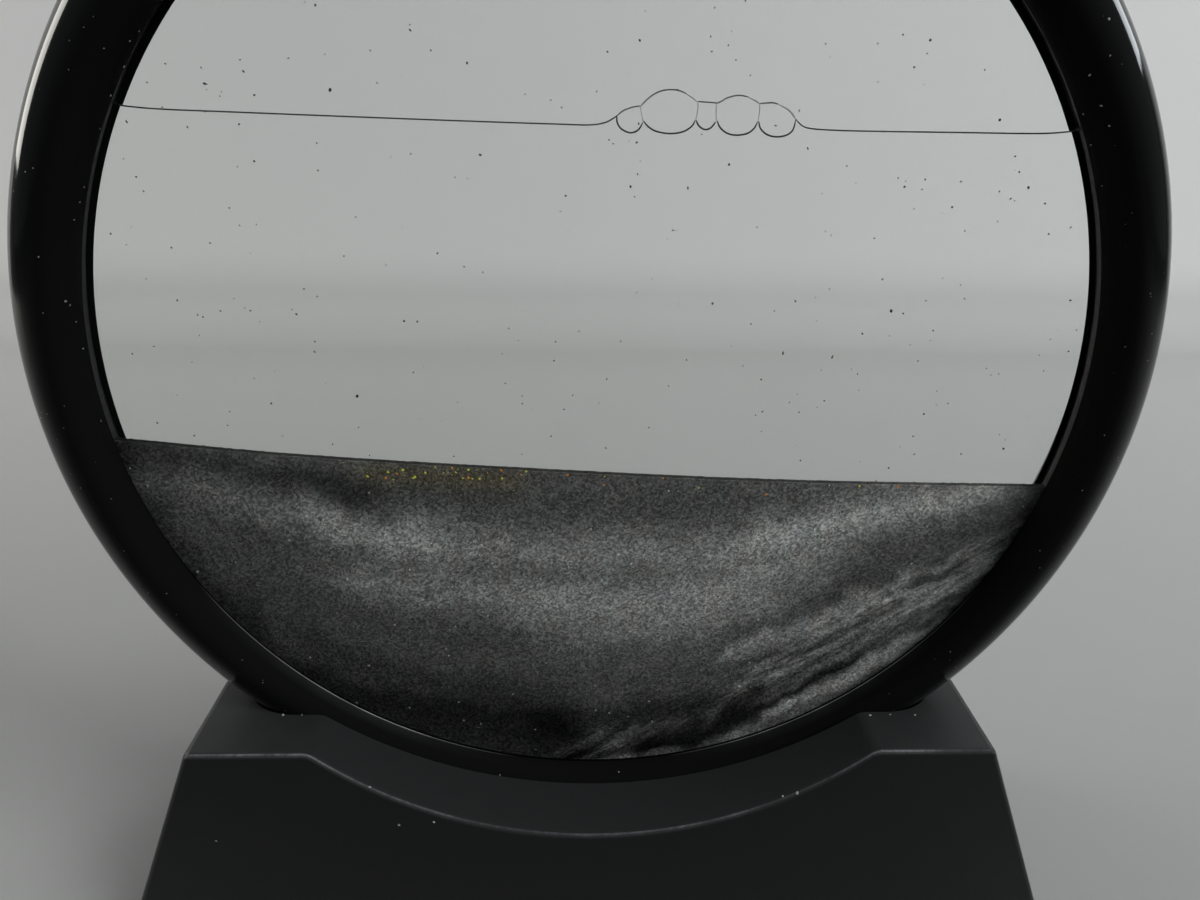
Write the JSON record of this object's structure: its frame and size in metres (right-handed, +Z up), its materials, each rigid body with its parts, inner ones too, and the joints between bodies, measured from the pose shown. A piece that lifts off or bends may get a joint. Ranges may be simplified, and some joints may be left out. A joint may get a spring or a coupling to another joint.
{
  "type": "moving sand art frame",
  "caption": "Round gloss black frame with a sealed glass cell of clear liquid and layered dark sand, standing in a slotted base; it turns and lifts out so that the sand falls anew.",
  "frame": {"origin": "on the table, under the middle of the base", "axes": "+Z up, -Y out of the front window, +X to the right as seen from the front"},
  "size_m": [0.178, 0.0464, 0.1949],
  "materials": {
    "base_plastic": "satin black, finely textured",
    "cover_plastic": "matt black",
    "screw_steel": "plain steel",
    "foot_rubber": "matt black rubber",
    "frame_plastic": "gloss black",
    "gasket_foam": "matt black foam",
    "clear_glass": "clear, polished",
    "spacer_plastic": "black",
    "sealant": "dark cured sealant",
    "clear_liquid": "clear water-like liquid",
    "glitter_sand": "gold and copper glitter among dark grains",
    "dark_sand": "wet charcoal sand, speckled",
    "grey_sand": "wet grey sand, speckled",
    "pale_sand": "wet pale grey sand, speckled"
  },
  "bodies": {
    "base": {"base_shell": "base_plastic", "bottom_cover": "cover_plastic", "cover_screw_1": "screw_steel", "cover_screw_2": "screw_steel", "cover_screw_3": "screw_steel", "cover_screw_4": "screw_steel", "foot_pad_1": "foot_rubber", "foot_pad_2": "foot_rubber", "foot_pad_3": "foot_rubber", "foot_pad_4": "foot_rubber"},
    "contents": {"liquid": "clear_liquid", "glitter_layer": "glitter_sand", "dark_crest_layer": "dark_sand", "grey_sweep_layer": "grey_sand", "dark_bed_layer": "dark_sand", "pale_toe_layer": "pale_sand"},
    "ring": {"front_frame": "frame_plastic", "rear_frame": "frame_plastic", "port_cap": "foot_rubber", "front_gasket": "gasket_foam", "rear_gasket": "gasket_foam", "front_glass": "clear_glass", "rear_glass": "clear_glass", "spacer_ring": "spacer_plastic", "edge_seal": "sealant", "fill_plug": "foot_rubber"}
  },
  "joints": [
    {"name": "frame_lift", "type": "slide", "parent": "base", "child": "contents", "axis": [0, 0, 1], "range_m": [0, 0.06]},
    {"name": "frame_turn", "type": "hinge", "parent": "contents", "child": "ring", "pos_m": [0, 0, 0.106], "axis": [0, 1, 0], "continuous": true}
  ]
}
